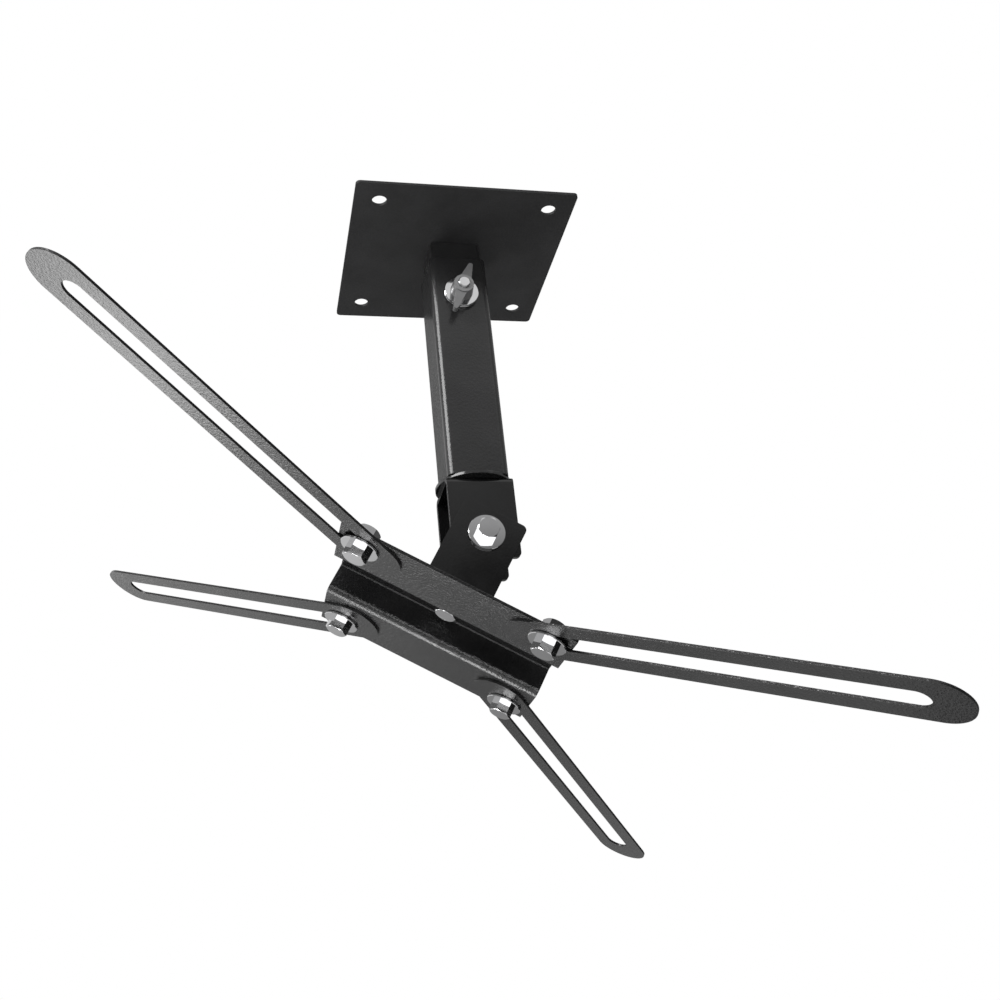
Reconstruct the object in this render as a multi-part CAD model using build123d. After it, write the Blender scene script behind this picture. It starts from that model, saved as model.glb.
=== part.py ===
from build123d import *
import os

os.makedirs("parts", exist_ok=True)

# Ceiling-held projector mount, in millimetres. The origin is at the centre of
# the ceiling plate's upper face, with +Z up and -Y towards the wing nut.

# Ceiling plate, stub tube and drop tube
plate_side = 150.0
plate_thick = 2.0
plate_corner = 3.0
plate_hole_inset = 17.0
plate_hole_radius = 5.0
stub_length = 72.0
stub_wall = 2.0
telescope_gap = 0.5
tube_side = 40.0
tube_wall = 2.0
tube_corner = 5.0
tube_top_z = -16.5
tube_length = 168.5
disc_radius = 25.0
disc_thick = 2.0

# Bolts, nuts and washers
shank_radius = 4.0
shank_chamfer = 0.5
hex_flats = 13.0
hex_chamfer = 0.6
hex_face_margin = 0.05
head_height = 6.9
nut_height = 6.8
washer_radius = 11.8
washer_thick = 1.6
small_washer_radius = 8.0
washer_chamfer = 0.3
bolt_play = 0.05
washer_play = 0.2
bolt_show = 0.8

# Wing nut
wing_bolt_drop = 30.1
wing_bolt_show = 1.8
wing_hub_base = 7.8
wing_hub_top = 6.8
wing_hub_height = 9.4
wing_reach = 20.0
wing_root_half = 4.8
wing_tip_half = 1.6
wing_root_rise = 1.0
wing_tip_bottom = 1.8
wing_tip_top = 6.6
wing_turn = 20.5

# Upper and lower clevis
clevis_length = 43.2
clevis_thick = 3.0
clevis_bend = 1.0
clevis_corner = 3.5
clevis_play = 0.1
lower_half_width = 23.0
upper_height = 56.2
upper_pivot_drop = 41.0
lower_height = 56.5
lower_pivot_rise = 40.2
tilt_angle = 30.0

# Cross channel
sheet = 2.0
channel_length = 148.0
channel_width = 147.0
recess_half = 24.6
recess_depth = 19.5
mouth_radius = 5.0
crown_radius = 1.2

# Slotted arms
arm_thick = 1.5
arm_half_width = 18.7
arm_centres = 223.7
slot_half_width = 7.5
slot_inset = 9.0
arm_bolt_end_inset = 14.5
arm_bolt_side_inset = 14.1
near_left_turn = 34.9
near_right_turn = 40.0
far_left_turn = 40.0
far_right_turn = 49.8

# How near an edge or corner must be to count as found
find_slack = 0.01

# Levels and widths that follow
stub_side = tube_side - 2 * tube_wall - 2 * telescope_gap
tube_bottom_z = tube_top_z - tube_length
clevis_top_z = tube_bottom_z - disc_thick
pivot_z = clevis_top_z - upper_pivot_drop
wing_bolt_z = tube_top_z - wing_bolt_drop
upper_half_width = lower_half_width - clevis_thick - clevis_play
crown_z = -lower_pivot_rise
web_z = crown_z - sheet
flange_top_z = web_z - recess_depth + sheet
flange_z = web_z - recess_depth
arm_z = flange_z - arm_thick
bolt_hole_radius = shank_radius + bolt_play
plate_hole_spacing = plate_side - 2 * plate_hole_inset
arm_bolt_x = channel_length / 2 - arm_bolt_end_inset
arm_bolt_y = channel_width / 2 - arm_bolt_side_inset


def hex_blank(height):
    hexagon = RegularPolygon(hex_flats / 2, 6, major_radius=False)
    corner = hex_flats / 2 * 1.16
    outline = Polyline(
        (0, 0),
        (corner, 0),
        (corner, height - hex_chamfer),
        (hex_flats / 2 - hex_face_margin, height),
        (0, height),
        close=True,
    )
    return extrude(hexagon, height) & revolve(Plane.XZ * make_face(outline), Axis.Z)


def bolt(grip):
    """Hex bolt along +Z, its head's seat at z = 0, long enough for its grip and a nut."""
    shank = extrude(Circle(shank_radius), grip)
    shank = chamfer(shank.edges().sort_by(Axis.Z)[-1], shank_chamfer)
    return mirror(hex_blank(head_height), Plane.XY) + shank


def nut():
    """Hex nut along +Z with its seat at z = 0."""
    return hex_blank(nut_height) - Cylinder(bolt_hole_radius, 3 * nut_height)


def washer(radius, level=0.0):
    """Flat washer with lightly broken edges and its lower face at z = level."""
    ring = extrude(Circle(radius) - Circle(shank_radius + washer_play), washer_thick)
    rims = ring.edges().filter_by(GeomType.CIRCLE).filter_by(lambda rim: rim.radius > radius - find_slack)
    return Pos(0, 0, level) * chamfer(rims, washer_chamfer)


def square_tube(side, wall, corner, length):
    """Square tube that hangs down from z = 0."""
    ring = RectangleRounded(side, side, corner)
    ring -= RectangleRounded(side - 2 * wall, side - 2 * wall, corner - wall)
    return extrude(ring, -length)


def clevis(half_width, height, pivot_height):
    """U of bent sheet: web's outer face at z = 0, legs upwards, pivot holes along Y."""
    inner = half_width - clevis_thick
    outline = Polyline(
        (half_width, 0),
        (half_width, height),
        (inner, height),
        (inner, clevis_thick),
        (-inner, clevis_thick),
        (-inner, height),
        (-half_width, height),
        (-half_width, 0),
        close=True,
    )
    profile = make_face(outline)
    rows = profile.vertices().group_by(Axis.Y)
    profile = fillet(rows[0], clevis_thick + clevis_bend)
    low, high = clevis_thick - find_slack, clevis_thick + find_slack
    inside = profile.vertices().filter_by_position(Axis.Y, low, high)
    inside = inside.filter_by_position(Axis.X, -inner - find_slack, inner + find_slack)
    profile = fillet(inside, clevis_bend)
    body = extrude(Plane.YZ.offset(-clevis_length / 2) * profile, clevis_length)
    body = fillet(body.edges().filter_by(Axis.Y).group_by(Axis.Z)[-1], clevis_corner)
    body -= Pos(0, 0, pivot_height) * Rot(90, 0, 0) * Cylinder(bolt_hole_radius, 4 * half_width)
    return body - Cylinder(bolt_hole_radius, 4 * clevis_thick)


def fastener_set(name, place, nut_washer_radius, layers, head_washers=1):
    """Bolt, washers and nut, with the head's seat at z = 0 and layers clamped between the washers."""
    nut_side = head_washers * washer_thick + layers
    rings = [washer(washer_radius, index * washer_thick) for index in range(head_washers)]
    rings.append(washer(nut_washer_radius, nut_side))
    grip = nut_side + washer_thick + nut_height + bolt_show
    nodes[name + "_bolt"] = place * bolt(grip)
    nodes[name + "_washers"] = place * Compound(children=rings)
    nodes[name + "_nut"] = place * Pos(0, 0, nut_side + washer_thick) * nut()


nodes = {}

# Ceiling plate: a flat square with four screw holes
plate = extrude(RectangleRounded(plate_side, plate_side, plate_corner), -plate_thick)
for hole in GridLocations(plate_hole_spacing, plate_hole_spacing, 2, 2):
    plate -= hole * Cylinder(plate_hole_radius, 4 * plate_thick)
nodes["ceiling_plate"] = plate

# Stub tube under the plate and drop tube over it, cross-drilled together
cross_hole = Pos(0, 0, wing_bolt_z) * Rot(90, 0, 0) * Cylinder(bolt_hole_radius, 3 * tube_side)
stub_corner = tube_corner - tube_wall
stub = Pos(0, 0, -plate_thick) * square_tube(stub_side, stub_wall, stub_corner, stub_length)
tube = Pos(0, 0, tube_top_z) * square_tube(tube_side, tube_wall, tube_corner, tube_length)
nodes["stub_tube"] = stub - cross_hole
nodes["drop_tube"] = tube - cross_hole

# End disc under the drop tube
disc = extrude(Circle(disc_radius) - Circle(bolt_hole_radius), -disc_thick)
nodes["end_disc"] = Pos(0, 0, tube_bottom_z) * disc

# Wing bolt, its washers and the wing nut
rear = Pos(0, tube_side / 2 + washer_thick, wing_bolt_z) * Rot(90, 0, 0)
wing_seat = tube_side + 3 * washer_thick
nodes["wing_bolt"] = rear * bolt(wing_seat + wing_hub_height + wing_bolt_show)
wing_rings = [washer(washer_radius)]
wing_rings.append(washer(washer_radius, tube_side + washer_thick))
wing_rings.append(washer(washer_radius, tube_side + 2 * washer_thick))
nodes["wing_bolt_washers"] = rear * Compound(children=wing_rings)
hub = loft([Circle(wing_hub_base).face(), (Pos(0, 0, wing_hub_height) * Circle(wing_hub_top)).face()])
tip_x = wing_reach - wing_tip_half
plan = make_hull([*Circle(wing_root_half).edges(), *(Pos(tip_x, 0) * Circle(wing_tip_half)).edges()])
side_outline = Polyline(
    (0, wing_root_rise),
    (wing_hub_base, wing_root_rise),
    (wing_reach, wing_tip_bottom),
    (wing_reach, wing_tip_top),
    (wing_hub_top, wing_hub_height - wing_root_rise),
    (0, wing_hub_height - wing_root_rise),
    close=True,
)
wing = extrude(plan, 2 * wing_hub_height)
wing &= extrude(Plane.XZ * make_face(side_outline), wing_reach, both=True)
wings = hub + wing + Rot(0, 0, 180) * wing
wings -= Cylinder(bolt_hole_radius, 4 * wing_hub_height)
nodes["wing_nut"] = rear * Pos(0, 0, wing_seat) * Rot(0, 0, 90 - wing_turn) * wings

# Upper clevis, hung from the disc by the swivel bolt
upper = Pos(0, 0, clevis_top_z) * Rot(180, 0, 0)
nodes["upper_clevis"] = upper * clevis(upper_half_width, upper_height, upper_pivot_drop)
swivel = Pos(0, 0, clevis_top_z - clevis_thick - washer_thick)
fastener_set("swivel", swivel, washer_radius, clevis_thick + disc_thick)

# Lower clevis and tilt bolt, in the tilted frame of the head
head = Pos(0, 0, pivot_z) * Rot(0, tilt_angle, 0)
lower = head * Pos(0, 0, crown_z)
nodes["lower_clevis"] = lower * clevis(lower_half_width, lower_height, lower_pivot_rise)
front = head * Pos(0, -lower_half_width - washer_thick, 0) * Rot(-90, 0, 0) * Rot(0, 0, tilt_angle)
fastener_set("tilt", front, washer_radius, 2 * lower_half_width)

# Cross channel: a hat section with four flange holes and one centre hole
outer = recess_half + sheet
half_width = channel_width / 2
hat_outline = Polyline(
    (outer, crown_z),
    (outer, flange_top_z),
    (half_width, flange_top_z),
    (half_width, flange_z),
    (recess_half, flange_z),
    (recess_half, web_z),
    (-recess_half, web_z),
    (-recess_half, flange_z),
    (-half_width, flange_z),
    (-half_width, flange_top_z),
    (-outer, flange_top_z),
    (-outer, crown_z),
    close=True,
)
hat = make_face(hat_outline)
for corner_y, corner_z, radius in [
    (outer, crown_z, crown_radius + sheet),
    (outer, flange_top_z, mouth_radius - sheet),
    (recess_half, flange_z, mouth_radius),
    (recess_half, web_z, crown_radius),
]:
    row = hat.vertices().filter_by_position(Axis.Y, corner_z - find_slack, corner_z + find_slack)
    right = row.filter_by_position(Axis.X, corner_y - find_slack, corner_y + find_slack)
    hat = fillet(right, radius)
    row = hat.vertices().filter_by_position(Axis.Y, corner_z - find_slack, corner_z + find_slack)
    left = row.filter_by_position(Axis.X, -corner_y - find_slack, -corner_y + find_slack)
    hat = fillet(left, radius)
channel = extrude(Plane.YZ.offset(-channel_length / 2) * hat, channel_length)
channel -= Pos(0, 0, crown_z) * Cylinder(bolt_hole_radius, 4 * sheet)
for hole in GridLocations(2 * arm_bolt_x, 2 * arm_bolt_y, 2, 2):
    channel -= hole * Pos(0, 0, flange_z) * Cylinder(bolt_hole_radius, 4 * sheet)
nodes["cross_channel"] = head * channel

# Centre bolt, with its head and two washers in the recess
centre = head * Pos(0, 0, web_z - 2 * washer_thick)
fastener_set("centre", centre, washer_radius, sheet + clevis_thick, head_washers=2)

# Arms: flat bars with round ends and one long slot, each on its own bolt
arm_shape = Pos(arm_centres / 2 - slot_inset, 0) * SlotCenterToCenter(arm_centres, 2 * arm_half_width)
slot_run = arm_centres - 2 * slot_inset
arm_shape -= Pos(slot_run / 2, 0) * SlotCenterToCenter(slot_run, 2 * slot_half_width)
for corner, side_x, side_y, turn in [
    ("near_left", -1, -1, 180 + near_left_turn),
    ("near_right", 1, -1, -near_right_turn),
    ("far_left", -1, 1, 180 - far_left_turn),
    ("far_right", 1, 1, far_right_turn),
]:
    spot = head * Pos(side_x * arm_bolt_x, side_y * arm_bolt_y, arm_z)
    nodes[corner + "_arm"] = spot * Rot(0, 0, turn) * extrude(arm_shape, arm_thick)
    under = spot * Pos(0, 0, -washer_thick)
    fastener_set(corner, under, small_washer_radius, arm_thick + sheet)

for name, shape in nodes.items():
    export_step(shape, "parts/" + name + ".step")
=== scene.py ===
import math

import bpy
from mathutils import Matrix, Vector

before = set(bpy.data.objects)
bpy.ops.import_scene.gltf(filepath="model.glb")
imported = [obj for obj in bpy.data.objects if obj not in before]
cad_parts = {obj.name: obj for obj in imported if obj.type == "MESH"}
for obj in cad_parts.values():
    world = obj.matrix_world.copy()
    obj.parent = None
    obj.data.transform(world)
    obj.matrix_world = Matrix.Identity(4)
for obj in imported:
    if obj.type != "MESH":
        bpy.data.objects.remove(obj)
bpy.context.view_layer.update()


# Ceiling plate: a square of flat steel sheet with four punched screw holes,
# powder coated black in a fine satin grain. It is screwed up against the
# ceiling, and the stub tube is welded under it.
def add_noise(tree, per_metre, detail, roughness=0.5):
    place = tree.nodes.new("ShaderNodeTexCoord")
    noise = tree.nodes.new("ShaderNodeTexNoise")
    noise.inputs["Scale"].default_value = per_metre
    noise.inputs["Detail"].default_value = detail
    noise.inputs["Roughness"].default_value = roughness
    tree.links.new(place.outputs["Object"], noise.inputs["Vector"])
    return noise.outputs["Fac"]


def stretch(tree, value, low, high, new_low, new_high):
    ruler = tree.nodes.new("ShaderNodeMapRange")
    ruler.inputs["From Min"].default_value = low
    ruler.inputs["From Max"].default_value = high
    ruler.inputs["To Min"].default_value = new_low
    ruler.inputs["To Max"].default_value = new_high
    tree.links.new(value, ruler.inputs["Value"])
    return ruler.outputs["Result"]


def calculate(tree, operation, first, second, added=None):
    # Each value is a plain number or an output to link
    step = tree.nodes.new("ShaderNodeMath")
    step.operation = operation
    for socket, value in zip(step.inputs, (first, second, added)):
        if isinstance(value, float):
            socket.default_value = value
        elif value is not None:
            tree.links.new(value, socket)
    return step


def mix_colours(tree, share, dark_colour, light_colour):
    # A Mix node keeps its colour sockets behind those for numbers and vectors
    mix = tree.nodes.new("ShaderNodeMix")
    mix.data_type = "RGBA"
    share_socket, dark_socket, light_socket = mix.inputs[0], mix.inputs[6], mix.inputs[7]
    mixed_colour = mix.outputs[2]
    dark_socket.default_value = dark_colour
    light_socket.default_value = light_colour
    tree.links.new(share, share_socket)
    return mixed_colour


def finish_node(node, material):
    mesh = bpy.data.objects[node].data
    for index in range(len(mesh.materials)):
        mesh.materials[index] = material
    if not mesh.materials:
        mesh.materials.append(material)


def coat_black(name, nodes, dark, light, rough, grain_size, grain_height,
               shine=1.5, edge_round=0.0005):
    # dark and light are the coat's two greys, from 0 for black to 1 for white,
    # and the grain and the rounding of the edges are in metres
    coat = bpy.data.materials.new(name)
    coat.use_nodes = True
    tree = coat.node_tree
    shader = tree.nodes["Principled BSDF"]
    shader.inputs["Metallic"].default_value = 0.0
    shader.inputs["IOR"].default_value = shine

    # Slow mottling, as the powder lies a little thicker in places, and the
    # fine leathery grain that it cures to
    mottle = add_noise(tree, per_metre=38.0, detail=3.0)
    grain = add_noise(tree, per_metre=1.0 / grain_size, detail=2.0, roughness=0.6)

    # The grain's tips are painted lighter and its pits darker than the mottling: a painted
    # highlight and painted shade on the grain
    grain_shade_swing = 0.45
    mottle_tone = stretch(tree, mottle, low=0.3, high=0.7, new_low=0.0, new_high=1.0)
    grain_painted_shade = calculate(tree, "MULTIPLY_ADD", grain, 2.0 * grain_shade_swing, -grain_shade_swing)
    tone = calculate(tree, "ADD", mottle_tone, grain_painted_shade.outputs["Value"])
    tone.use_clamp = True
    blue_cast = 1.02
    colour = mix_colours(tree, tone.outputs["Value"], (dark, dark, dark * blue_cast, 1.0),
                         (light, light, light * blue_cast, 1.0))
    tree.links.new(colour, shader.inputs["Base Color"])

    rough_swing = 0.05
    gloss = stretch(tree, mottle, low=0.0, high=1.0,
                    new_low=rough - rough_swing, new_high=rough + rough_swing)
    tree.links.new(gloss, shader.inputs["Roughness"])

    # Sheared edges leave the press lightly rounded, and the coat rounds them more
    edge = tree.nodes.new("ShaderNodeBevel")
    edge.samples = 6
    edge.inputs["Radius"].default_value = edge_round
    bump = tree.nodes.new("ShaderNodeBump")
    bump.inputs["Strength"].default_value = 1.0
    bump.inputs["Distance"].default_value = grain_height
    tree.links.new(edge.outputs["Normal"], bump.inputs["Normal"])
    tree.links.new(grain, bump.inputs["Height"])
    tree.links.new(bump.outputs["Normal"], shader.inputs["Normal"])
    for node in nodes:
        finish_node(node, coat)


coat_black("plate_coat", ["ceiling_plate"], dark=0.023, light=0.031, rough=0.55,
           grain_size=0.0016, grain_height=0.00010, shine=1.2)


# Stub tube: a short piece of square steel tube, welded under the plate and
# coated with it. The drop tube slides over it, so only its top end shows.
# Its greys are partly the coat's own and partly painted light, set lighter to make up for the
# light that the plate above keeps off the stub
coat_black("stub_coat_and_painted_light", ["stub_tube"], dark=0.016, light=0.022, rough=0.30,
           grain_size=0.0011, grain_height=0.00003)


# Drop tube: square steel tube with rounded corners, in a smoother and glossier
# black coat. It slides up over the stub, and the wing bolt holds it there.
# Its greys are partly the coat's own and partly painted light, set lighter to make up for the
# light that the plate above keeps off the top of the tube
coat_black("tube_coat_and_painted_light", ["drop_tube"], dark=0.0155, light=0.0205, rough=0.16,
           grain_size=0.0014, grain_height=0.00013, shine=1.42)


# End disc: a round piece of steel plate, welded across the lower end of the
# drop tube. The head swivels under it on the swivel bolt.
coat_black("disc_coat", ["end_disc"], dark=0.010, light=0.020, rough=0.12,
           grain_size=0.0016, grain_height=0.00003)


# Upper and lower clevis: two U-shaped straps, cut and bent from steel sheet, in
# a smooth black coat with crisp edges. The upper one opens downwards under the
# disc, and the tilt bolt holds the lower one over it.
coat_black("clevis_coat", ["upper_clevis", "lower_clevis"], dark=0.003, light=0.007,
           rough=0.15, grain_size=0.0015, grain_height=0.00002, edge_round=0.0002)


# Cross channel: a hat section with two flanges, bent from one piece of steel
# sheet, in a coarse leathery black coat. The centre bolt holds it under the
# lower clevis.
coat_black("channel_coat", ["cross_channel"], dark=0.005, light=0.010, rough=0.16,
           grain_size=0.0017, grain_height=0.00038)


# Slotted arms: four flat steel bars, cut with round ends and one long slot, in
# a grained black coat. Each is clamped under a flange by a bolt in its slot.
arm_nodes = ["near_left_arm", "near_right_arm", "far_left_arm", "far_right_arm"]
coat_black("arm_coat", arm_nodes, dark=0.007, light=0.013, rough=0.18,
           grain_size=0.0015, grain_height=0.00022, edge_round=0.00015)


# Bolts, washers and nuts: hex bolts, hex nuts and flat washers of turned and
# punched steel, plated with bright zinc. They clamp the tubes, the clevises,
# the channel and the arms together.
def plate_zinc(name, nodes, tone, rough, metal):
    zinc = bpy.data.materials.new(name)
    zinc.use_nodes = True
    tree = zinc.node_tree
    shader = tree.nodes["Principled BSDF"]
    shader.inputs["Metallic"].default_value = metal
    cloud = add_noise(tree, per_metre=160.0, detail=4.0)
    dull_zinc = (tone * 0.92, tone * 0.92, tone * 0.93, 1.0)
    clean_zinc = (tone * 1.05, tone * 1.05, tone * 1.06, 1.0)
    colour = mix_colours(tree, cloud, dull_zinc, clean_zinc)
    tree.links.new(colour, shader.inputs["Base Color"])
    gloss = stretch(tree, cloud, low=0.0, high=1.0, new_low=rough * 0.7, new_high=rough * 1.3)
    tree.links.new(gloss, shader.inputs["Roughness"])
    for node in nodes:
        finish_node(node, zinc)


fastener_endings = ("_bolt", "_nut", "_washers")
fastener_nodes = [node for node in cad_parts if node.endswith(fastener_endings)]
fastener_nodes.remove("wing_nut")
plate_zinc("zinc_plating", fastener_nodes, tone=0.56, rough=0.06, metal=1.0)


# Wing nut: a casting with a round hub and two wings, in a duller zinc plating.
# It is turned by hand on the wing bolt to clamp the drop tube to the stub.
plate_zinc("wing_nut_zinc", ["wing_nut"], tone=0.19, rough=0.20, metal=0.3)


# Floor: a plain pale sheet far below the mount, seen only from above. It is
# matt, so that it takes soft shadows and mirrors nothing.
floor_width = 16.0
floor_middle = (0.0, 0.6, -1.9)
pale_grey = (0.8, 0.8, 0.8, 1.0)
bpy.ops.object.select_all(action="DESELECT")
bpy.ops.mesh.primitive_plane_add(size=floor_width, location=floor_middle)
floor = bpy.context.object
floor.name = "floor"
bpy.ops.object.transform_apply(location=True, rotation=True, scale=True)
pale = bpy.data.materials.new("floor_pale")
pale.use_nodes = True
pale_shader = pale.node_tree.nodes["Principled BSDF"]
pale_shader.inputs["Base Color"].default_value = pale_grey
pale_shader.inputs["Roughness"].default_value = 0.9
floor.data.materials.append(pale)


# Surround: plain white on every side, as in a studio with white walls. The
# camera, mirrors and glass see it white, and it lights the mount half as much,
# so that the black coats keep their shadows.
lit_strength, seen_strength = 0.5, 1.0
world = bpy.data.worlds.new("studio")
bpy.context.scene.world = world
world.use_nodes = True
walls = world.node_tree
surround = walls.nodes["Background"]
surround.inputs["Color"].default_value = (1.0, 1.0, 1.0, 1.0)
rays = walls.nodes.new("ShaderNodeLightPath").outputs
seen = calculate(walls, "MAXIMUM", rays["Is Camera Ray"], rays["Is Glossy Ray"])
seen = calculate(walls, "MAXIMUM", seen.outputs["Value"], rays["Is Transmission Ray"])
strength = stretch(walls, seen.outputs["Value"], low=0.0, high=1.0,
                   new_low=lit_strength, new_high=seen_strength)
walls.links.new(strength, surround.inputs["Strength"])


# Studio boards: flat grey boards and small bright cards that stand round the mount, out of
# the camera's sight. They glow with their own greys though no lamp lights them, light nothing
# and cast no shadow, and only the gloss of the coats and of the plating mirrors them: painted
# reflections and highlights.
def stand_glowing_board(name, place, turn, width, height, tones, brightness=1.0, along="Z"):
    # tones: pairs of a place in metres and a grey, in order up the board
    # (along Z) or across it (along X)
    bpy.ops.object.select_all(action="DESELECT")
    upright = (math.radians(90.0), 0.0, 0.0)
    bpy.ops.mesh.primitive_plane_add(size=1.0, location=(0.0, 0.0, 0.0), rotation=upright)
    board = bpy.context.object
    board.name = name
    board.scale = (width, height, 1.0)
    bpy.ops.object.transform_apply(location=True, rotation=True, scale=True)
    board.rotation_euler = (0.0, 0.0, math.radians(turn))
    board.location = place
    bpy.ops.object.transform_apply(location=True, rotation=True, scale=True)
    board.visible_camera = False
    board.visible_diffuse = False
    board.visible_shadow = False

    grey = bpy.data.materials.new(name)
    grey.use_nodes = True
    tree = grey.node_tree
    tree.nodes.remove(tree.nodes["Principled BSDF"])
    spot = tree.nodes.new("ShaderNodeTexCoord")
    split = tree.nodes.new("ShaderNodeSeparateXYZ")
    tree.links.new(spot.outputs["Object"], split.inputs["Vector"])
    start, end = tones[0][0], tones[-1][0]
    way = stretch(tree, split.outputs[along], low=start, high=end, new_low=0.0, new_high=1.0)
    ramp = tree.nodes.new("ShaderNodeValToRGB")
    stops = ramp.color_ramp.elements
    for index, (position, shade) in enumerate(tones):
        share = (position - start) / (end - start)
        stop = stops[index] if index < 2 else stops.new(share)
        stop.position = share
        stop.color = (shade, shade, shade, 1.0)
    tree.links.new(way, ramp.inputs["Fac"])
    # The board's grey glows by itself: a painted reflection that only gloss sees
    glow = tree.nodes.new("ShaderNodeEmission")
    glow.inputs["Strength"].default_value = brightness
    tree.links.new(ramp.outputs["Color"], glow.inputs["Color"])
    tree.links.new(glow.outputs["Emission"], tree.nodes["Material Output"].inputs["Surface"])
    board.data.materials.append(grey)


def even(grey):
    # The same grey all over the board
    return [(0.0, grey), (1.0, grey)]


# The fronts of the tube, the clevises and the bolt heads mirror this board
stand_glowing_board("front_board", (0.4, -1.8, 0.35), turn=0.0, width=4.0, height=4.5,
            tones=[(0.0, 0.04), (0.48, 0.06), (0.6, 0.5), (0.9, 0.62), (1.2, 1.0)])
# The tube's left face and the inside of the channel mirror this one
stand_glowing_board("back_board", (0.75, 2.4, 0.65), turn=0.0, width=3.1, height=2.9,
            tones=even(0.17))
# The flat undersides of the flanges and the arms mirror this one
stand_glowing_board("back_left_board", (-0.625, 2.3, -0.95), turn=0.0, width=0.95, height=1.9,
            tones=[(-1.1, 0.95), (-0.85, 0.75), (-0.65, 0.5), (-0.45, 0.35), (-0.15, 0.33)],
            along="X")
# The right-hand edges of the tube and of the arms mirror this one
stand_glowing_board("right_board", (2.2, 0.3, 0.35), turn=90.0, width=4.2, height=4.5,
            tones=[(0.0, 0.12), (0.4, 0.2), (0.75, 0.42), (1.2, 0.5)])
# Glowing cards that paint highlights: one on the nut behind the near left corner, two on the
# channel's far bend, and one for the white facet of the tilt bolt
stand_glowing_board("left_card", (0.18, -1.75, 0.43), turn=0.0, width=0.24, height=0.58,
            tones=even(0.52))
stand_glowing_board("low_card", (-0.59, 0.41, -1.29), turn=55.0, width=0.9, height=0.7,
            tones=even(1.0), brightness=9.0)
stand_glowing_board("left_low_card", (-0.65, -0.24, -1.43), turn=110.0, width=1.3, height=0.8,
            tones=even(1.0), brightness=1.8)
stand_glowing_board("front_left_card", (-0.85, -1.55, -0.30), turn=-29.0, width=0.4, height=0.36,
            tones=even(1.0), brightness=3.6)
# A bright glowing card that paints the line of light on the tube's corner and on the disc's
# rim, in place of the high lamp's reflection
stand_glowing_board("corner_card", (-1.45, -0.9, 0.86), turn=-58.0, width=1.3, height=0.75,
            tones=even(1.0), brightness=12.0)
# This one keeps the nut behind the near right corner grey
stand_glowing_board("high_board", (-0.885, 0.395, 1.25), turn=45.0, width=1.65, height=1.5,
            tones=even(0.5))
# The right facets of the bolt heads are dark because of this one
stand_glowing_board("low_board", (0.65, 0.65, -1.4), turn=-45.0, width=0.9, height=0.8,
            tones=even(0.02))


# Lamps: three soft lamps that hang round the mount, one low at the back left,
# one high at the front left and one low in front. The bolts mirror the front
# one as white facets, and nothing mirrors the high one.
def hang_lamp(name, place, width, height, power, mirrored=True):
    lamp = bpy.data.lights.new(name, "AREA")
    lamp.shape = "RECTANGLE"
    lamp.size = width
    lamp.size_y = height
    lamp.energy = power
    holder = bpy.data.objects.new(name, lamp)
    bpy.context.scene.collection.objects.link(holder)
    holder.location = place
    mount_middle = Vector((0.0, 0.0, -0.25))
    holder.rotation_euler = (mount_middle - Vector(place)).to_track_quat("-Z", "Y").to_euler()
    holder.visible_camera = False
    holder.visible_glossy = mirrored


hang_lamp("back_lamp", (-1.30, 1.27, -1.0), width=0.85, height=1.1, power=12.8)
hang_lamp("key_lamp", (-1.45, -0.9, 0.6), width=1.15, height=0.9, power=36.0, mirrored=False)
hang_lamp("fill_lamp", (-0.10, -1.7, -0.93), width=1.5, height=0.58, power=9.6)


# Camera: it stands below the mount and in front of it and looks up, turned a
# little to the right and tipped on its side, as in the photograph.
camera_place = (-0.16063, -0.68513, -0.52879)
yaw, pitch, roll = math.radians(14.513), math.radians(25.307), math.radians(6.271)
film_width, lens_share = 36.0, 1.2037
level_reach = math.cos(pitch)
forward = Vector((math.sin(yaw) * level_reach, math.cos(yaw) * level_reach, math.sin(pitch)))
level_right = Vector((math.cos(yaw), -math.sin(yaw), 0.0))
level_down = forward.cross(level_right)
right = math.cos(roll) * level_right + math.sin(roll) * level_down
down = -math.sin(roll) * level_right + math.cos(roll) * level_down
camera = bpy.data.objects.new("camera", bpy.data.cameras.new("camera"))
bpy.context.scene.collection.objects.link(camera)
turned = Matrix((right, -down, -forward)).transposed().to_4x4()
camera.matrix_world = Matrix.Translation(camera_place) @ turned
camera.data.sensor_width = film_width
camera.data.lens = film_width * lens_share
camera.data.clip_end = 100.0
bpy.context.scene.camera = camera

bpy.context.scene.view_settings.view_transform = "Standard"
